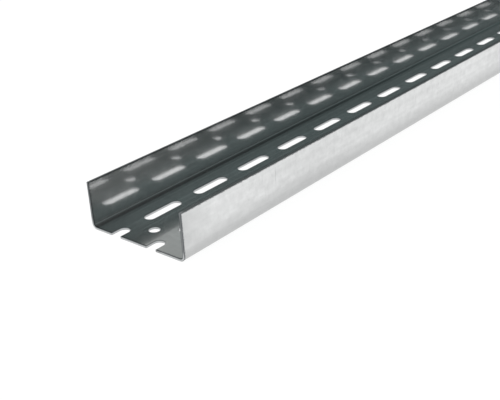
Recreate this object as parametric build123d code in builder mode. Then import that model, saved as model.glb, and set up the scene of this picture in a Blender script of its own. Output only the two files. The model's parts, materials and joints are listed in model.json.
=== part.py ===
"""Punched reinforcing channel: one cold-formed length of galvanised steel strip, millimetres.

The frame: X runs along the channel, Y across it and Z up. The web lies flat at Z = 0 with
both flanges standing up, and the origin is under the middle of the web.
"""

from build123d import *

import os

# The section
channel_length = 2600.0
web_width = 100.0
flange_height = 40.0
wall = 2.0
inner_bend_radius = 3.0

# The slots, in two rows along the web, which stand a little nearer to the high-Y flange
slot_length = 39.0
slot_width = 10.0
slot_pitch = 58.0
row_spacing = 38.0
pattern_offset = 4.0

# The round holes, one between each two pairs of slots, midway between the rows
hole_diameter = 9.5

# Where the sawn ends fall in the pattern: from the low X end to the first whole pair of slots
first_slot_centre = 52.0

low_end = -channel_length / 2
high_end = channel_length / 2
outer_bend_radius = inner_bend_radius + wall


def rows_of_pattern(first_centre, half_size):
    """X of every feature a pitch apart that still cuts the channel, the cut-off ones included."""
    steps_before = int((first_centre - low_end + half_size) // slot_pitch)
    start = first_centre - steps_before * slot_pitch
    count = int((high_end + half_size - start) // slot_pitch) + 1
    return [start + step * slot_pitch for step in range(count)]


first_slot_x = low_end + first_slot_centre
slot_stations = rows_of_pattern(first_slot_x, slot_length / 2)
hole_stations = rows_of_pattern(first_slot_x - slot_pitch / 2, hole_diameter / 2)

with BuildPart() as channel_profile:
    # The strip's section: outer corners and inner corners share each bend's centre
    with BuildSketch(Plane.YZ.offset(low_end)) as section:
        with BuildLine():
            FilletPolyline(
                (-web_width / 2, flange_height),
                (-web_width / 2, 0),
                (web_width / 2, 0),
                (web_width / 2, flange_height),
                radius=outer_bend_radius,
            )
            Line((web_width / 2, flange_height), (web_width / 2 - wall, flange_height))
            FilletPolyline(
                (web_width / 2 - wall, flange_height),
                (web_width / 2 - wall, wall),
                (-web_width / 2 + wall, wall),
                (-web_width / 2 + wall, flange_height),
                radius=inner_bend_radius,
            )
            Line((-web_width / 2 + wall, flange_height), (-web_width / 2, flange_height))
        make_face()
    extrude(amount=channel_length)

    # The punched pattern, through the web
    with BuildSketch(Plane.XY) as punching:
        with Locations(*[(x, pattern_offset) for x in slot_stations]):
            with Locations((0, -row_spacing / 2), (0, row_spacing / 2)):
                SlotOverall(slot_length, slot_width)
        with Locations(*[(x, pattern_offset) for x in hole_stations]):
            Circle(hole_diameter / 2)
    extrude(amount=wall, mode=Mode.SUBTRACT)

channel_profile.part.label = "channel_profile"

os.makedirs("parts", exist_ok=True)
export_step(channel_profile.part, "parts/channel_profile.step")

print("slot pairs", len(slot_stations), "round holes", len(hole_stations))
print("volume", round(channel_profile.part.volume, 1), "bounds", channel_profile.part.bounding_box())
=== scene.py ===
"""A punched reinforcing channel in galvanised steel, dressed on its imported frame.

The strip is worked out flat, as one sheet with its slots, round holes and open notches, and every
point is then folded round the two bends. All sizes are metres in the row frame: X along the
channel, Y across the web, Z up.
"""

import json
import math

import bpy
import numpy as np
from mathutils import Matrix, Vector


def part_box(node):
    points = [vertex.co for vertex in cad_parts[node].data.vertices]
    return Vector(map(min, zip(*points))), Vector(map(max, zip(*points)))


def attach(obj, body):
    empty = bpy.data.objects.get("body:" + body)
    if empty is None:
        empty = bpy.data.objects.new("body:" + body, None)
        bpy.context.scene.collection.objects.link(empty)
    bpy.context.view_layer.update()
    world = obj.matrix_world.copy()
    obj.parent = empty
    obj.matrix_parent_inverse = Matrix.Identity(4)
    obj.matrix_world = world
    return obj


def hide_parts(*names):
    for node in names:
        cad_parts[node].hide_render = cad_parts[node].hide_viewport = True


bl_info = {
    "name": "Punched reinforcing channel",
    "version": (1, 0, 0),
    "blender": (4, 5, 0),
    "location": "View3D > Sidebar > Channel",
    "description": "Builds a galvanised U channel with its punched web, and a plain studio round it",
    "category": "Object",
}

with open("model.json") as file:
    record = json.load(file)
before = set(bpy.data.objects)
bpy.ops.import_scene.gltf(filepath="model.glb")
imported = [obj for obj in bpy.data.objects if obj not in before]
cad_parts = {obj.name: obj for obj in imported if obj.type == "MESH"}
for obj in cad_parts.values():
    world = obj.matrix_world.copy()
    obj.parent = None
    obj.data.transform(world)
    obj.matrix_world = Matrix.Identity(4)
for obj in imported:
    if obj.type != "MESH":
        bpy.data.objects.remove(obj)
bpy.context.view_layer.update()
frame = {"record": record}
NODE = "channel_profile"
MM = 0.001

MOUNTS = {mount["name"]: mount for mount in frame["record"]["mounts"]}
SLOTS = MOUNTS["low_end_slots"]
HOLES = MOUNTS["low_end_holes"]
LOW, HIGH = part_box(NODE)
PITCH = SLOTS["dims"]["spacing_x_mm"] * MM
# From the pattern's middle line to the middle of each row of slots
ROW = SLOTS["dims"]["spacing_y_mm"] * MM / 2
SLOT_LENGTH = SLOTS["dims"]["slot_length_mm"] * MM
SLOT_RADIUS = SLOTS["dims"]["hole_r_mm"] * MM
HOLE_RADIUS = HOLES["dims"]["hole_r_mm"] * MM
MIDDLE = SLOTS["pos_m"][1]
FIRST_SLOT = SLOTS["pos_m"][0] - PITCH / 2
FIRST_HOLE = FIRST_SLOT - PITCH / 2
# From a slot's centre to the centre of its round end
SLOT_CORE = SLOT_LENGTH / 2 - SLOT_RADIUS

# Steps along a cell, which is one pitch long, and from the last cell on to the channel's end
CELL_STEPS = 12
MARGIN_STEPS = 5
# Steps across a slot's cell and a hole's cell, round a slot's end, round a bend and up a flange
SLOT_SIDE_STEPS = 8
HOLE_SIDE_STEPS = 4
SLOT_ARC_STEPS = 14
BEND_STEPS = 6
FLANGE_STEPS = 2
# Rows on the sheet's face round a punched hole: 1 is the cell's outline and 0 would be the rim
RING_LEVELS = np.array([1.0, 0.35])
# Rows round one rolled-over rim, and round both rims of a cut wall
RIM_STEPS = 3
RIM_ROWS = 2 * RIM_STEPS
# Points closer together than this are one point
WELD_DISTANCE = 1e-7
# A point whose normal rises less than this lies on cut metal, and a face with a greater share of such
# points than this is cut metal too
FACE_RISE = 0.999
CUT_SHARE = 0.4

# The zinc's shades, as factors on its colour: where clouds are darkest and lightest, and where it is
# darkened, which round the bends and at the ends is painted shade
DARK_CLOUD = 0.82
LIGHT_CLOUD = 1.16
SHADED_AND_DARKENED = 0.66
# Roughness between the matt grains of the zinc, on them, and on a cut wall
BRIGHT_ZINC = 0.04
MATT_ZINC = 0.32
CUT_WALL = 0.4
# Scores in a cut wall: how far apart, coarser than real ones so that they show, and how long
SCORE_SPACING = 0.3 * MM
SCORE_LENGTH = 3 * MM
# The floor's white that answers the lamp, and the part that doesn't
FLOOR_MATT = 0.2
FLOOR_GLOW = 0.9

# Millimetres along and across the strip that one blotch of each pattern measures, and the noise's
# detail. Grain and scratches are finer on real zinc and are drawn this coarse so that they show
ZINC_PATTERNS = {
    "bands": (900.0, 5.0, 2.0),
    "lines": (1400.0, 2.2, 1.0),
    "patches": (150.0, 70.0, 1.0),
    "clouds": (9.0, 7.0, 3.0),
    "ripple": (2.4, 8.0, 1.0),
    "grain": (0.3, 0.3, 0.0),
    "scratches": (0.8, 45.0, 1.0),
    "specks": (1.6, 0.9, 1.0),
}


def srgb(code):
    """Linear red, green, blue and alpha of a hex colour: the sRGB curve undone channel by channel."""
    channels = np.array([int(code[i:i + 2], 16) for i in (1, 3, 5)]) / 255
    linear = np.where(channels <= 0.04045, channels / 12.92, ((channels + 0.055) / 1.055) ** 2.4)
    return (*linear.tolist(), 1.0)


class ChannelSettings(bpy.types.PropertyGroup):
    """Sizes and colours of the channel that the frame's record doesn't hold."""

    wall: bpy.props.FloatProperty(
        name="Wall", description="Thickness of the strip", default=0.002, unit="LENGTH", min=0.0005
    )
    inner_bend: bpy.props.FloatProperty(
        name="Inner bend", description="Radius inside each bend", default=0.003, unit="LENGTH", min=0.0002
    )
    edge_round: bpy.props.FloatProperty(
        name="Edge rounding",
        description="Radius of the rolled-over rim that the shears and the punch leave",
        default=0.00022,
        unit="LENGTH",
        min=0.00005,
    )
    zinc: bpy.props.FloatVectorProperty(
        name="Zinc", description="Colour of the skin-passed zinc", subtype="COLOR", size=3, min=0, max=1,
        default=srgb("#D9DADA")[:3],
    )
    burnished: bpy.props.FloatVectorProperty(
        name="Burnished cut", description="Colour of the smooth band that the punch leaves in a cut wall",
        subtype="COLOR", size=3, min=0, max=1, default=srgb("#BCBEBF")[:3],
    )
    # This colour also paints the shadow along the outer edge of each cut wall
    fractured_and_shadow: bpy.props.FloatVectorProperty(
        name="Fractured cut", description="Colour of the torn band of a cut wall",
        subtype="COLOR", size=3, min=0, max=1, default=srgb("#54585A")[:3],
    )


class StudioSettings(bpy.types.PropertyGroup):
    """The floor, the light and the camera."""

    floor_size: bpy.props.FloatProperty(
        name="Floor", description="Side of the pale floor", default=200.0, unit="LENGTH"
    )
    lamp_power: bpy.props.FloatProperty(
        name="Overhead lamp", description="Power of the overhead soft box", default=140.0, unit="POWER"
    )
    lamp_size: bpy.props.FloatProperty(
        name="Lamp size", description="Side of the overhead soft box", default=9.0, unit="LENGTH"
    )
    focal_length: bpy.props.FloatProperty(
        name="Focal length", description="Lens of the view, in millimetres", default=63.6
    )


class Sheet:
    """The section's sizes in the flat, and the profile that every cut edge has.

    Across, the strip is the web's flat half, a bend's outer arc and a flange to either side. The
    profile runs from the upper face down a quarter circle of the rim's radius to the cut wall, and
    by a second quarter circle to the under face. tilt is its normal's angle over the sheet, inset
    how far back from the cut it stands, and level its height over the under face. The names with
    ring in them add the rows that lie on both faces round a punched hole.
    """

    def __init__(self, settings):
        self.wall = settings.wall
        self.rim = settings.edge_round
        self.outer_bend = settings.inner_bend + settings.wall
        self.web_half = HIGH[1] - self.outer_bend
        self.arc = self.outer_bend * math.pi / 2
        self.half = self.web_half + self.arc + HIGH[2] - LOW[2] - self.outer_bend
        quarter = np.linspace(math.pi / 2, 0, RIM_STEPS)
        centre = np.repeat([self.wall - self.rim, self.rim], RIM_STEPS)
        self.tilt = np.concatenate([quarter, -quarter[::-1]])
        self.inset = self.rim * (1 - np.cos(self.tilt))
        self.level = centre + self.rim * np.sin(self.tilt)
        rows = len(RING_LEVELS)
        beside = np.full(rows, self.rim)
        upright = np.full(rows, math.pi / 2)
        self.ring_blend = np.concatenate([RING_LEVELS, np.zeros(RIM_ROWS), RING_LEVELS[::-1]])
        self.ring_tilt = np.concatenate([upright, self.tilt, -upright])
        self.ring_inset = np.concatenate([beside, self.inset, beside])
        self.ring_level = np.concatenate([np.full(rows, self.wall), self.level, np.zeros(rows)])

    def fold(self, points, normals):
        """Bends flat points (along, across, up from the under face) and their normals into the channel.

        Across less than the web's flat half stays flat. Beyond it the point turns round the bend's
        centre by an angle in proportion to the way along the outer arc, at the outer radius less its
        height in the sheet, and past a right angle it runs straight up the flange.
        """
        along, across, up = np.moveaxis(points, -1, 0)
        side = np.where(across < 0, -1.0, 1.0)
        past = np.abs(across) - self.web_half
        angle = np.clip(past / self.arc, 0, 1) * math.pi / 2
        radius = self.outer_bend - up
        y = side * (np.minimum(np.abs(across), self.web_half) + radius * np.sin(angle))
        z = self.outer_bend - radius * np.cos(angle) + np.maximum(past - self.arc, 0)
        lengthwise, sideways, outward = np.moveaxis(normals, -1, 0)
        turned_y = sideways * np.cos(angle) - outward * side * np.sin(angle)
        turned_z = sideways * side * np.sin(angle) + outward * np.cos(angle)
        return vectors(along, y, z + LOW[2]), vectors(lengthwise, turned_y, turned_z)


class Shell:
    """Grids of points on the flat strip, gathered and welded into one closed surface."""

    def __init__(self, sheet):
        self.sheet = sheet
        self.points = []
        self.normals = []
        self.faces = []
        self.count = 0

    def add(self, points, normals, closed=False):
        """Takes a grid of points, rows by columns, or a stack of them, and joins neighbours to faces.

        In a closed grid the last column is a neighbour of the first.
        """
        points, normals = np.broadcast_arrays(points, normals)
        if points.ndim == 3:
            points = points[None]
            normals = normals[None]
        stack, rows, columns = points.shape[:3]
        row, column = np.meshgrid(
            np.arange(rows - 1), np.arange(columns if closed else columns - 1), indexing="ij"
        )
        beside = (column + 1) % columns
        corners = np.stack(
            [row * columns + column, row * columns + beside,
             (row + 1) * columns + beside, (row + 1) * columns + column], -1
        ).reshape(-1, 4)
        offsets = self.count + np.arange(stack)[:, None, None] * rows * columns
        self.faces.append((corners[None] + offsets).reshape(-1, 4))
        self.points.append(points.reshape(-1, 3))
        self.normals.append(normals.reshape(-1, 3))
        self.count += stack * rows * columns

    def welded(self):
        """Merges points that share a place, folds them, and turns each face the way its normals point."""
        flat = np.concatenate(self.points)
        normals = np.concatenate(self.normals)
        keys = np.round(flat / WELD_DISTANCE).astype(np.int64)
        _, first, again = np.unique(keys, axis=0, return_index=True, return_inverse=True)
        again = again.reshape(-1)
        summed = np.zeros((len(first), 3))
        np.add.at(summed, again, normals)
        summed /= np.linalg.norm(summed, axis=1, keepdims=True)
        cut = (np.abs(normals[first, 2]) < FACE_RISE).astype(float)
        faces = again[np.concatenate(self.faces)]
        folded, turned = self.sheet.fold(flat[first], summed)
        a, b, c, d = (folded[faces[:, i]] for i in range(4))
        facing = np.cross(c - a, d - b)
        wrong = np.einsum("ij,ij->i", facing, turned[faces].sum(1)) < 0
        faces[wrong] = faces[wrong][:, ::-1]
        return flat[first], folded, turned, cut, faces


def vectors(x, y, z):
    """Points or directions from their three parts, each spread to the shape of the largest."""
    return np.stack(np.broadcast_arrays(x, y, z), -1)


def box_loop(along, across):
    """Corner-to-corner loop round cells: up the far side, back along the top, down and forward again."""
    along = np.atleast_2d(along)
    cells, wide = along.shape
    across = np.broadcast_to(across, (cells, len(across)))
    tall = across.shape[1]
    x = [np.repeat(along[:, -1:], tall - 1, 1), along[:, :0:-1],
         np.repeat(along[:, :1], tall - 1, 1), along[:, :-1]]
    s = [across[:, :-1], np.repeat(across[:, -1:], wide - 1, 1),
         across[:, :0:-1], np.repeat(across[:, :1], wide - 1, 1)]
    return np.stack([np.concatenate(x, 1), np.concatenate(s, 1)], -1)


def slot_loop(arc_steps, straight_steps, shift):
    """A round-ended loop as unit numbers: where its core stands, from -1 to 1, and which way it faces."""
    turn = np.arange(arc_steps) / arc_steps * math.pi
    run = np.linspace(1, -1, straight_steps, endpoint=False)
    core = np.concatenate([np.ones(arc_steps), run, -np.ones(arc_steps), -run])
    facing = np.concatenate([
        turn - math.pi / 2, np.full(straight_steps, math.pi / 2),
        turn + math.pi / 2, np.full(straight_steps, -math.pi / 2),
    ])
    return np.roll(core, -shift), np.roll(facing, -shift)


def ring(shell, core, way, radius, cell, closed):
    """Carries the rim's profile round holes and blends it out to their cells, on both faces of the sheet.

    Row by row the surface is: the cell's outline on the upper face, steps in towards the hole, the
    rolled-over rim and the cut wall, and the same steps out again on the under face. A row's points
    are the core's points moved by way, which has length 1, times the radius and the row's inset, and
    then blended with the cell's. Core and cell have a row for each of these rows or one for all.
    """
    sheet = shell.sheet
    blend = sheet.ring_blend[:, None, None]
    wall = core + way * (radius + sheet.ring_inset)[:, None, None]
    flat = wall * (1 - blend) + cell * blend
    lying = np.cos(sheet.ring_tilt)[:, None]
    shell.add(
        vectors(flat[..., 0], flat[..., 1], sheet.ring_level[:, None]),
        vectors(-way[..., 0] * lying, -way[..., 1] * lying, np.sin(sheet.ring_tilt)[:, None]),
        closed,
    )


def rows_of_cells(web_half, split):
    """Each slot row's cells as the places of their two long sides and of the row between them."""
    return (MIDDLE + split, web_half, MIDDLE + ROW), (-web_half, MIDDLE - split, MIDDLE - ROW)


def whole_slots(shell, stations, count, split):
    """The two rows of slots: each slot's rim is blended out to a cell one pitch long."""
    index = MARGIN_STEPS + CELL_STEPS * np.arange(count)[:, None] + np.arange(CELL_STEPS + 1)
    straight = CELL_STEPS + SLOT_SIDE_STEPS - SLOT_ARC_STEPS
    core, facing = slot_loop(SLOT_ARC_STEPS, straight, (SLOT_ARC_STEPS - SLOT_SIDE_STEPS) // 2)
    way = np.stack([np.cos(facing), np.sin(facing)], -1)
    centres = FIRST_SLOT + PITCH * np.arange(count)
    along = centres[:, None] + core * SLOT_CORE
    for low, high, row in rows_of_cells(shell.sheet.web_half, split):
        cores = np.stack([along, np.full_like(along, row)], -1)
        cells = box_loop(stations[index], np.linspace(low, high, SLOT_SIDE_STEPS + 1))
        ring(shell, cores[:, None], way, SLOT_RADIUS, cells[:, None], closed=True)


def round_holes(shell, stations, count, split):
    """The middle row of round holes, whose cells end at the slots' centres or at the channel's ends."""
    across = MIDDLE + np.linspace(-split, split, HOLE_SIDE_STEPS + 1)
    first = np.maximum(CELL_STEPS * np.arange(count) + MARGIN_STEPS - CELL_STEPS // 2, 0)
    last = np.minimum(CELL_STEPS * np.arange(count) + MARGIN_STEPS + CELL_STEPS // 2, len(stations) - 1)
    for steps in np.unique(last - first):
        chosen = np.flatnonzero(last - first == steps)
        cells = box_loop(stations[first[chosen][:, None] + np.arange(steps + 1)], across)
        corners = cells.shape[1]
        turn = 2 * math.pi / corners
        facing = (np.arange(corners) - HOLE_SIDE_STEPS / 2) * turn
        way = np.stack([np.cos(facing), np.sin(facing)], -1)
        centres = np.stack([FIRST_HOLE + PITCH * chosen, np.full(len(chosen), MIDDLE)], -1)
        ring(shell, centres[:, None, None], way, HOLE_RADIUS, cells[:, None], closed=True)


def end_rim(shell, end, inward, across):
    """The sheared end between two places: the rim's profile carried across the sheet.

    across has a row for each row of the rim, or one for all. inward is 1 at the low end and -1 at
    the high one.
    """
    sheet = shell.sheet
    shell.add(
        vectors((end + inward * sheet.inset)[:, None], across, sheet.level[:, None]),
        vectors(-inward * np.cos(sheet.tilt)[:, None], 0.0, np.sin(sheet.tilt)[:, None]),
    )


def notches(shell, stations, end, inward, split):
    """The slot pair that the end cuts open: a U of wall, blended out to the three sides of its cell.

    The U's core runs in from each row's own place at the end to the centre of the slot's inner round
    end, turns there by half a circle, and runs back out. Between each mouth and the cell's corner
    the end has its own sheared rim.
    """
    sheet = shell.sheet
    nearby = stations[:MARGIN_STEPS + 1] if inward > 0 else stations[::-1][:MARGIN_STEPS + 1]
    whole = FIRST_SLOT if inward > 0 else FIRST_SLOT + PITCH * (slot_count() - 1)
    inner = whole + inward * (SLOT_CORE - PITCH)
    mouth = (end + inward * sheet.ring_inset)[:, None]
    wall_steps = (2 * MARGIN_STEPS + SLOT_SIDE_STEPS - SLOT_ARC_STEPS) // 2
    run = np.linspace(0, 1, wall_steps, endpoint=False)
    towards = mouth + (inner - mouth) * run
    bend = np.full((len(mouth), SLOT_ARC_STEPS), inner)
    back = mouth + (inner - mouth) * np.append(run, 1)[::-1]
    along = np.concatenate([towards, bend, back], 1)
    facing = np.concatenate([
        np.full(wall_steps, -math.pi / 2),
        np.arange(SLOT_ARC_STEPS) / SLOT_ARC_STEPS * math.pi - math.pi / 2,
        np.full(wall_steps + 1, math.pi / 2),
    ])
    way = np.stack([inward * np.cos(facing), np.sin(facing)], -1)
    cell_along = np.concatenate([nearby[:-1], np.full(SLOT_SIDE_STEPS, nearby[-1]), nearby[::-1]])
    gap = np.append(RING_LEVELS, 0.0)
    for low, high, row in rows_of_cells(sheet.web_half, split):
        side = np.linspace(low, high, SLOT_SIDE_STEPS + 1)
        cell_across = np.concatenate([
            np.full(MARGIN_STEPS, low), side[:-1], np.full(MARGIN_STEPS + 1, high),
        ])
        core = np.stack([along, np.full_like(along, row)], -1)
        cell = np.stack([cell_along, cell_across], -1)
        ring(shell, core, way, SLOT_RADIUS, cell, closed=False)
        for edge, sign in ((low, -1), (high, 1)):
            lip = row + sign * (SLOT_RADIUS + sheet.rim)
            across = np.repeat((lip * (1 - gap) + edge * gap)[None], RIM_ROWS, 0)
            across[:, -1] = row + sign * (SLOT_RADIUS + sheet.inset)
            end_rim(shell, end, inward, across)


def flanks(shell, stations):
    """Both bends and flanges, inside and out, with the slit edge along each flange and the sheared ends."""
    sheet = shell.sheet
    round_part = np.linspace(sheet.web_half, sheet.web_half + sheet.arc, BEND_STEPS + 1)
    upright = np.linspace(round_part[-1], sheet.half - sheet.rim, FLANGE_STEPS + 1)[1:]
    across = np.concatenate([round_part, upright])
    along = np.repeat(stations[None], RIM_ROWS, 0)
    along[:, 0] = LOW[0] + sheet.inset
    along[:, -1] = HIGH[0] - sheet.inset
    for side in (-1, 1):
        for level, outward in ((sheet.wall, 1.0), (0.0, -1.0)):
            shell.add(vectors(stations, side * across[:, None], level), vectors(0.0, 0.0, outward))
        slit = side * (sheet.half - sheet.inset)
        shell.add(
            vectors(along, slit[:, None], sheet.level[:, None]),
            vectors(0.0, side * np.cos(sheet.tilt)[:, None], np.sin(sheet.tilt)[:, None]),
        )
        ends = np.repeat(side * across[None], RIM_ROWS, 0)
        ends[:, -1] = slit
        end_rim(shell, LOW[0], 1, ends)
        end_rim(shell, HIGH[0], -1, ends)


def slot_count():
    """How many whole pairs of slots the channel has."""
    return int((HIGH[0] - SLOT_LENGTH / 2 - FIRST_SLOT) // PITCH) + 1


def channel_mesh(settings):
    """The whole closed surface: ring cells over the web, swept bends and flanges, and rims at the ends."""
    sheet = Sheet(settings)
    shell = Shell(sheet)
    count = slot_count()
    low_cell = FIRST_SLOT - PITCH / 2
    high_cell = low_cell + PITCH * count
    stations = np.concatenate([
        np.linspace(LOW[0] + sheet.rim, low_cell, MARGIN_STEPS + 1)[:-1],
        np.linspace(low_cell, high_cell, count * CELL_STEPS + 1),
        np.linspace(high_cell, HIGH[0] - sheet.rim, MARGIN_STEPS + 1)[1:],
    ])
    split = (HOLE_RADIUS + ROW - SLOT_RADIUS) / 2
    whole_slots(shell, stations, count, split)
    round_holes(shell, stations, count + 1, split)
    middle = MIDDLE + np.linspace(-split, split, HOLE_SIDE_STEPS + 1)
    for end, inward in ((LOW[0], 1), (HIGH[0], -1)):
        notches(shell, stations, end, inward, split)
        end_rim(shell, end, inward, middle)
    flanks(shell, stations)
    flat, folded, normals, cut, faces = shell.welded()
    mesh = bpy.data.meshes.new(NODE)
    mesh.from_pydata(folded, [], faces)
    mesh.polygons.foreach_set("use_smooth", np.ones(len(faces), bool))
    mesh.attributes.new("cut_metal", "FLOAT", "POINT").data.foreach_set("value", cut)
    mesh.attributes.new("strip", "FLOAT_VECTOR", "POINT").data.foreach_set("vector", flat.ravel())
    # Across and along the strip in metres. The height is added, so that a cut wall has a width too
    corners = flat[faces.ravel()]
    uv = np.stack([corners[:, 1] + corners[:, 2], corners[:, 0] + corners[:, 2]], -1)
    mesh.uv_layers.new(name="across_and_along").data.foreach_set("uv", uv.ravel())
    mesh.polygons.foreach_set("material_index", (cut[faces].mean(1) > CUT_SHARE).astype(np.int32))
    mesh.normals_split_custom_set_from_vertices(normals)
    mesh.validate()
    mesh.update()
    return mesh


def add_node(tree, kind, inputs=None, **settings):
    """Adds one node, sets its fields, and sets or links its inputs.

    Inputs go by name or number. A Map Range's 1 to 4 are the lowest and highest value read and the
    two that they become, a Mix's 0 is its share, 2 and 3 are its numbers and 6 and 7 its colours.
    """
    node = tree.nodes.new(kind)
    for name, value in settings.items():
        setattr(node, name, value)
    for name, value in (inputs or {}).items():
        if isinstance(value, bpy.types.NodeSocket):
            tree.links.new(value, node.inputs[name])
        else:
            node.inputs[name].default_value = value
    return node


def new_material(name):
    """An empty node material and its tree."""
    material = bpy.data.materials.new(name)
    material.use_nodes = True
    material.node_tree.nodes.clear()
    return material, material.node_tree


def shaded(colour, factor):
    """A colour made darker or lighter by a factor, with its alpha."""
    return (*(np.array(colour) * factor).tolist(), 1.0)


def strip_axes(tree):
    """A point's place on the flat strip: whole, split by axis, and as distances from the strip's middle."""
    strip = add_node(tree, "ShaderNodeAttribute", attribute_name="strip").outputs["Vector"]
    sides = add_node(tree, "ShaderNodeVectorMath", {0: strip}, operation="ABSOLUTE").outputs[0]
    place = add_node(tree, "ShaderNodeSeparateXYZ", {0: strip}).outputs
    distance = add_node(tree, "ShaderNodeSeparateXYZ", {0: sides}).outputs
    return strip, place, distance


def zinc_noise(tree, strip):
    """One noise for each of the zinc's patterns, stretched to its size along and across the strip."""
    noise = {}
    for name, (along, across, detail) in ZINC_PATTERNS.items():
        place = add_node(tree, "ShaderNodeVectorMath", {
            0: strip, 1: (1 / (along * MM), 1 / (across * MM), 1 / MM),
        }, operation="MULTIPLY")
        noise[name] = add_node(tree, "ShaderNodeTexNoise", {
            "Vector": place.outputs[0], "Scale": 1.0, "Detail": detail,
        }).outputs["Fac"]
    return noise


def mottled_zinc(tree, noise, zinc):
    """Soft clouds between a darker and a lighter zinc, with patches, bands and ripple mixed in."""
    shade = noise["clouds"]
    for name, share in (("patches", 0.45), ("bands", 0.25), ("ripple", 0.12)):
        shade = add_node(tree, "ShaderNodeMix", {0: share, 2: shade, 3: noise[name]}).outputs[0]
    tone = add_node(tree, "ShaderNodeMapRange", {0: shade, 1: 0.3, 2: 0.7, 3: 0.0, 4: 1.0})
    return add_node(tree, "ShaderNodeMix", {
        0: tone.outputs[0], 6: shaded(zinc, DARK_CLOUD), 7: shaded(zinc, LIGHT_CLOUD),
    }, data_type="RGBA").outputs[2]


def roll_lines_and_painted_reflection(tree, sheet, noise, place, distance, colour):
    """The rolls' lines and painted reflection, on the web's high-Y half, which fade out over the bend."""
    before_bend = add_node(tree, "ShaderNodeMapRange", {
        0: distance["Y"], 1: sheet.web_half + sheet.arc, 2: sheet.web_half - 2 * MM, 3: 0.1, 4: 1.0,
    })
    high_half = add_node(tree, "ShaderNodeMapRange", {0: place["Y"], 1: 0.0, 2: 20 * MM, 3: 0.2, 4: 1.0})
    on_web = add_node(tree, "ShaderNodeMath", {
        0: before_bend.outputs[0], 1: high_half.outputs[0],
    }, operation="MULTIPLY")
    # Lines lighter and darker than the zinc: partly the rolls' own, partly painted reflection
    lines = add_node(tree, "ShaderNodeMapRange", {0: noise["lines"], 1: 0.34, 2: 0.62, 3: 0.72, 4: 1.2})
    return add_node(tree, "ShaderNodeMix", {
        0: on_web.outputs[0], 6: colour, 7: lines.outputs[0],
    }, data_type="RGBA", blend_type="MULTIPLY").outputs[2]


def painted_shade_and_darkening(tree, sheet, place, distance):
    """How far the zinc is darkened, the greatest of three shares.

    Painted shade darkens it round each bend, for a centimetre into the web and two up the flange,
    and it is darker again inside the flange towards its free edge. Painted shade also darkens the
    last 35 mm at each end.
    """
    bend = sheet.web_half + sheet.arc / 2
    # Painted shade round each bend, fading a centimetre into the web and two up the flange
    sides_of_bend = []
    for far, near in ((bend - 10 * MM, bend - 1 * MM), (bend + 20 * MM, bend + 2 * MM)):
        sides_of_bend.append(add_node(tree, "ShaderNodeMapRange", {
            0: distance["Y"], 1: far, 2: near, 3: 0.0, 4: 0.75,
        }, interpolation_type="SMOOTHSTEP").outputs[0])
    rolled = add_node(tree, "ShaderNodeMath", {
        0: sides_of_bend[0], 1: sides_of_bend[1],
    }, operation="MINIMUM")
    free_edge = add_node(tree, "ShaderNodeMapRange", {
        0: distance["Y"], 1: sheet.half - 18 * MM, 2: sheet.half - 9 * MM, 3: 0.0, 4: 0.85,
    }, interpolation_type="SMOOTHSTEP")
    inner_face = add_node(tree, "ShaderNodeMath", {
        0: place["Z"], 1: sheet.wall / 2,
    }, operation="GREATER_THAN")
    inside_edge = add_node(tree, "ShaderNodeMath", {
        0: free_edge.outputs[0], 1: inner_face.outputs[0],
    }, operation="MULTIPLY")
    # Painted shade over the last 35 mm at each end
    handled = add_node(tree, "ShaderNodeMapRange", {
        0: distance["X"], 1: HIGH[0] - 35 * MM, 2: HIGH[0], 3: 0.0, 4: 0.5,
    })
    darkening_share = rolled.outputs[0]
    for other in (inside_edge, handled):
        darkening_share = add_node(tree, "ShaderNodeMath", {
            0: darkening_share, 1: other.outputs[0],
        }, operation="MAXIMUM").outputs[0]
    return darkening_share


def worn_zinc(tree, sheet, noise, distance):
    """How far the zinc is worn through: by scratches across it, and by specks in a rubbed margin.

    The margin reaches two millimetres in from the free edges and the sheared ends, where the specks'
    noise is lifted over the level at which a speck shows.
    """
    scratched = add_node(tree, "ShaderNodeMapRange", {
        0: noise["scratches"], 1: 0.74, 2: 0.8, 3: 0.0, 4: 0.6,
    })
    margins = []
    for axis, edge in (("X", HIGH[0]), ("Y", sheet.half)):
        margins.append(add_node(tree, "ShaderNodeMapRange", {
            0: distance[axis], 1: edge - 2.0 * MM, 2: edge - 0.5 * MM, 3: -0.35, 4: 0.22,
        }).outputs[0])
    margin = add_node(tree, "ShaderNodeMath", {0: margins[0], 1: margins[1]}, operation="MAXIMUM")
    lifted = add_node(tree, "ShaderNodeMath", {0: noise["specks"], 1: margin.outputs[0]}, operation="ADD")
    rubbed = add_node(tree, "ShaderNodeMapRange", {0: lifted.outputs[0], 1: 0.5, 2: 0.62, 3: 0.0, 4: 0.8})
    return add_node(tree, "ShaderNodeMath", {
        0: scratched.outputs[0], 1: rubbed.outputs[0],
    }, operation="MAXIMUM").outputs[0]


def rolled_relief(tree, sheet, noise, distance):
    """Bands along the strip, and the ripple, which grows from the web, where rolls held it, to the edges."""
    bands = add_node(tree, "ShaderNodeBump", {"Height": noise["bands"], "Distance": 0.025 * MM})
    freedom = add_node(tree, "ShaderNodeMapRange", {
        0: distance["Y"], 1: sheet.half - 30 * MM, 2: sheet.half - 8 * MM, 3: 0.25, 4: 1.0,
    })
    return add_node(tree, "ShaderNodeBump", {
        "Strength": freedom.outputs[0],
        "Height": noise["ripple"],
        "Distance": 0.05 * MM,
        "Normal": bands.outputs[0],
    }).outputs[0]


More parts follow.
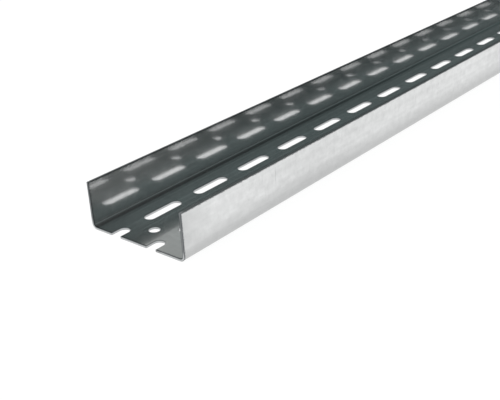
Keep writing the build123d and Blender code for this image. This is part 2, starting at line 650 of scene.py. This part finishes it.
def galvanised_steel(settings):
    """Hot-dip galvanised strip, skin-passed after the bath and roll-formed.

    The skin pass flattens the zinc's spangle to soft clouds, so the strip mirrors what stands round it,
    with matt grains between. The forming rolls leave bands along it, and lines on the web, which are
    partly theirs and partly painted reflection, and a fine cross-wise ripple, which frays what it
    mirrors, the more so the further off that is. Painted shade darkens it at the bends and at its ends,
    and it is darker inside each flange towards the free edge. Handling rubs its free edges dark in
    specks and leaves a few scratches.
    """
    material, tree = new_material("skin_passed_galvanised_steel")
    sheet = Sheet(settings)
    strip, place, distance = strip_axes(tree)
    noise = zinc_noise(tree, strip)
    mottled = mottled_zinc(tree, noise, settings.zinc)
    # Lines on the web: partly the rolls' own, partly painted reflection
    lined = roll_lines_and_painted_reflection(tree, sheet, noise, place, distance, mottled)
    # Painted shade at the bends and ends, and the darkening inside the flanges towards their free edges
    darkened_mix = add_node(tree, "ShaderNodeMix", {
        0: painted_shade_and_darkening(tree, sheet, place, distance), 6: lined, 7: shaded(settings.zinc, SHADED_AND_DARKENED),
    }, data_type="RGBA")
    worn = add_node(tree, "ShaderNodeMix", {
        0: worn_zinc(tree, sheet, noise, distance), 6: darkened_mix.outputs[2], 7: (*settings.fractured_and_shadow, 1.0),
    }, data_type="RGBA")
    matt = add_node(tree, "ShaderNodeMapRange", {
        0: noise["grain"], 1: 0.35, 2: 0.8, 3: BRIGHT_ZINC, 4: MATT_ZINC,
    })
    shader = add_node(tree, "ShaderNodeBsdfPrincipled", {
        "Base Color": worn.outputs[2],
        "Metallic": 1.0,
        "Roughness": matt.outputs[0],
        "Normal": rolled_relief(tree, sheet, noise, distance),
    })
    add_node(tree, "ShaderNodeOutputMaterial", {"Surface": shader.outputs["BSDF"]})
    return material


def sheared_steel(settings):
    """Bare steel where the punch and the shears went through the strip.

    From the outer face inwards a cut wall has a thin dark lip, which is painted shadow along that edge,
    a smooth burnished band, which looks pale, and the torn band where the metal broke, which looks
    dark. Fine scores run through its thickness and fray the bands. The cut round each flange is
    handled most and has gone dull.
    """
    material, tree = new_material("sheared_steel_edge")
    sheet = Sheet(settings)
    strip, place, distance = strip_axes(tree)
    height = add_node(tree, "ShaderNodeMapRange", {0: place["Z"], 1: 0.0, 2: sheet.wall, 3: 0.0, 4: 1.0})
    spacing = add_node(tree, "ShaderNodeVectorMath", {
        0: strip, 1: (1 / SCORE_SPACING, 1 / SCORE_SPACING, 1 / SCORE_LENGTH),
    }, operation="MULTIPLY")
    scores = add_node(tree, "ShaderNodeTexNoise", {
        "Vector": spacing.outputs[0], "Scale": 1.0, "Detail": 1.0,
    }).outputs["Fac"]
    torn = add_node(tree, "ShaderNodeMath", {
        0: scores, 1: 0.3, 2: height.outputs[0],
    }, operation="MULTIPLY_ADD")
    # The dark lip, which is painted shadow, and the torn band take the two ends of the ramp, and the
    # burnished band its middle
    bands = add_node(tree, "ShaderNodeValToRGB", {0: torn.outputs[0]})
    fractured_and_shadow = (*settings.fractured_and_shadow, 1.0)
    stops = bands.color_ramp.elements
    for stop, position in zip(stops, (0.26, 0.98)):
        stop.position = position
        stop.color = fractured_and_shadow
    for position in (0.36, 0.88):
        stops.new(position).color = (*settings.burnished, 1.0)
    foot = sheet.web_half + sheet.arc
    on_flange = add_node(tree, "ShaderNodeMapRange", {
        0: distance["Y"], 1: foot, 2: foot + 4 * MM, 3: 0.0, 4: 0.7,
    })
    darkened_mix = add_node(tree, "ShaderNodeMix", {
        0: on_flange.outputs[0], 6: bands.outputs[0], 7: fractured_and_shadow,
    }, data_type="RGBA")
    scored = add_node(tree, "ShaderNodeBump", {"Height": scores, "Distance": 0.02 * MM})
    shader = add_node(tree, "ShaderNodeBsdfPrincipled", {
        "Base Color": darkened_mix.outputs[2],
        "Metallic": 1.0,
        "Roughness": CUT_WALL,
        "Normal": scored.outputs[0],
    })
    add_node(tree, "ShaderNodeOutputMaterial", {"Surface": shader.outputs["BSDF"]})
    return material


def pale_floor(name):
    """Matt white studio floor.

    A fifth of its white answers the lamp, which keeps a faint soft shadow. The rest is the same for
    every ray that shows the floor: straight to the camera, mirrored in metal or through glass.
    """
    material, tree = new_material(name)
    matt = add_node(tree, "ShaderNodeBsdfDiffuse", {"Color": (FLOOR_MATT, FLOOR_MATT, FLOOR_MATT, 1.0)})
    path = add_node(tree, "ShaderNodeLightPath")
    mirrored = add_node(tree, "ShaderNodeMath", {
        0: path.outputs["Is Glossy Ray"], 1: path.outputs["Is Transmission Ray"],
    }, operation="MAXIMUM")
    seen = add_node(tree, "ShaderNodeMath", {
        0: path.outputs["Is Camera Ray"], 1: mirrored.outputs[0],
    }, operation="MAXIMUM")
    lift = add_node(tree, "ShaderNodeMath", {0: seen.outputs[0], 1: FLOOR_GLOW}, operation="MULTIPLY")
    glow = add_node(tree, "ShaderNodeEmission", {"Color": srgb("#FFFFFF"), "Strength": lift.outputs[0]})
    both = add_node(tree, "ShaderNodeAddShader", {0: matt.outputs[0], 1: glow.outputs[0]})
    add_node(tree, "ShaderNodeOutputMaterial", {"Surface": both.outputs[0]})
    return material


class CHANNEL_OT_profile(bpy.types.Operator):
    """Builds the punched channel and hides the plain CAD node that it stands for"""

    bl_idname = "channel.profile"
    bl_label = "Channel profile"

    def execute(self, context):
        settings = context.scene.channel_settings
        piece = bpy.data.objects.new("galvanised_channel", channel_mesh(settings))
        context.scene.collection.objects.link(piece)
        piece.data.materials.append(galvanised_steel(settings))
        piece.data.materials.append(sheared_steel(settings))
        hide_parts(NODE)
        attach(piece, "root")
        return {"FINISHED"}


class CHANNEL_OT_studio(bpy.types.Operator):
    """Lays the pale floor, lights the room, hangs the soft box and sets the camera"""

    bl_idname = "channel.studio"
    bl_label = "Studio"

    def execute(self, context):
        settings = context.scene.studio_settings
        lay_floor(context.scene, settings)
        light_world(context.scene)
        hang_lamp(context.scene, settings)
        set_camera(context.scene, settings)
        context.scene.view_settings.view_transform = "Standard"
        return {"FINISHED"}


def lay_floor(scene, settings):
    """A square floor under the channel."""
    half = settings.floor_size / 2
    level = LOW[2]
    mesh = bpy.data.meshes.new("floor")
    corners = [(-half, -half, level), (half, -half, level), (half, half, level), (-half, half, level)]
    mesh.from_pydata(corners, [], [(0, 1, 2, 3)])
    floor = bpy.data.objects.new("floor", mesh)
    mesh.materials.append(pale_floor("matt_white_floor"))
    scene.collection.objects.link(floor)


def light_world(scene):
    """The room round the floor, the same for every ray.

    The floor's white goes on a little above the horizon. Over it the far end of the room, towards +X,
    is dim and gets darker upwards, the near end is pale, and a soft light hangs high towards +Y.
    """
    world = bpy.data.worlds.new("studio")
    world.use_nodes = True
    tree = world.node_tree
    tree.nodes.clear()
    direction = add_node(tree, "ShaderNodeTexCoord").outputs["Generated"]
    parts = add_node(tree, "ShaderNodeSeparateXYZ", {0: direction})
    # How steeply a direction rises, as its sine, and the room's shade there
    rise = add_node(tree, "ShaderNodeValToRGB", {0: parts.outputs["Z"]})
    stops = rise.color_ramp.elements
    for stop, (height, shade) in zip(stops, ((0.04, "#FFFFFF"), (0.8, "#252B2B"))):
        stop.position = height
        stop.color = srgb(shade)
    for height, shade in ((0.09, "#787F80"), (0.3, "#6C7878"), (0.42, "#657373"), (0.56, "#404A4A")):
        stops.new(height).color = srgb(shade)
    near_end = add_node(tree, "ShaderNodeMapRange", {
        0: parts.outputs["X"], 1: 0.85, 2: -0.4, 3: 0.0, 4: 0.75,
    }, interpolation_type="SMOOTHSTEP")
    walls = add_node(tree, "ShaderNodeMix", {
        0: near_end.outputs[0], 6: rise.outputs[0], 7: srgb("#D0D1D1"),
    }, data_type="RGBA")
    towards = add_node(tree, "ShaderNodeVectorMath", {
        0: direction, 1: (-0.3, 0.6, 0.6),
    }, operation="DOT_PRODUCT")
    spread = add_node(tree, "ShaderNodeMapRange", {
        0: towards.outputs["Value"], 1: 0.36, 2: 0.52, 3: 0.0, 4: 1.0,
    }, interpolation_type="SMOOTHSTEP")
    light = add_node(tree, "ShaderNodeMix", {
        0: spread.outputs[0], 6: srgb("#000000"), 7: srgb("#ABABA9"),
    }, data_type="RGBA")
    colour = add_node(tree, "ShaderNodeMix", {
        0: 1.0, 6: walls.outputs[2], 7: light.outputs[2],
    }, data_type="RGBA", blend_type="SCREEN")
    background = add_node(tree, "ShaderNodeBackground", {"Color": colour.outputs[2], "Strength": 1.0})
    add_node(tree, "ShaderNodeOutputWorld", {"Surface": background.outputs[0]})
    scene.world = world


def hang_lamp(scene, settings):
    """One large soft box overhead, out beyond the camera's end of the channel."""
    data = bpy.data.lights.new("overhead_soft_box", "AREA")
    data.shape = "SQUARE"
    data.size = settings.lamp_size
    data.energy = settings.lamp_power
    lamp = bpy.data.objects.new("overhead_soft_box", data)
    lamp.location = (-4.2, 0.5, 4.6)
    scene.collection.objects.link(lamp)


def set_camera(scene, settings):
    """Stands the camera before the low end, off to the right-hand side, looking down along the channel.

    Forward is azimuth round from X and elevation down from level, and roll then turns the picture's
    two axes about it.
    """
    azimuth = math.radians(40.776)
    elevation = math.radians(25.286)
    roll = math.radians(-3.244)
    before_end = 0.3911
    aside = 0.45256
    height = 0.31167
    place = Vector((LOW[0] - before_end, -aside, height))
    level = math.cos(elevation)
    forward = Vector((level * math.cos(azimuth), level * math.sin(azimuth), -math.sin(elevation)))
    right = forward.cross(Vector((0, 0, 1))).normalized()
    up = right.cross(forward)
    x_axis = math.cos(roll) * right + math.sin(roll) * up
    y_axis = math.cos(roll) * up - math.sin(roll) * right
    turn = Matrix((x_axis, y_axis, -forward)).transposed().to_4x4()
    data = bpy.data.cameras.new("camera")
    data.sensor_width = 36.0
    data.lens = settings.focal_length
    data.clip_end = 2 * settings.floor_size
    camera = bpy.data.objects.new("camera", data)
    camera.matrix_world = Matrix.Translation(place) @ turn
    scene.collection.objects.link(camera)
    scene.camera = camera


class CHANNEL_PT_sidebar(bpy.types.Panel):
    """Lists the channel's sizes and its operators"""

    bl_label = "Punched channel"
    bl_space_type = "VIEW_3D"
    bl_region_type = "UI"
    bl_category = "Channel"

    def draw(self, context):
        layout = self.layout
        for settings in (context.scene.channel_settings, context.scene.studio_settings):
            for name in settings.bl_rna.properties.keys():
                if name not in ("rna_type", "name"):
                    layout.prop(settings, name)
        layout.operator(CHANNEL_OT_profile.bl_idname)
        layout.operator(CHANNEL_OT_studio.bl_idname)


CLASSES = (ChannelSettings, StudioSettings, CHANNEL_OT_profile, CHANNEL_OT_studio, CHANNEL_PT_sidebar)


def register():
    """Registers the classes and hangs both groups of settings on the scene."""
    for entry in CLASSES:
        bpy.utils.register_class(entry)
    bpy.types.Scene.channel_settings = bpy.props.PointerProperty(type=ChannelSettings)
    bpy.types.Scene.studio_settings = bpy.props.PointerProperty(type=StudioSettings)


def unregister():
    """Takes away what register added, in the opposite order."""
    del bpy.types.Scene.studio_settings
    del bpy.types.Scene.channel_settings
    for entry in reversed(CLASSES):
        bpy.utils.unregister_class(entry)


def main():
    register()
    bpy.ops.channel.profile()
    bpy.ops.channel.studio()


if __name__ == "__main__":
    main()
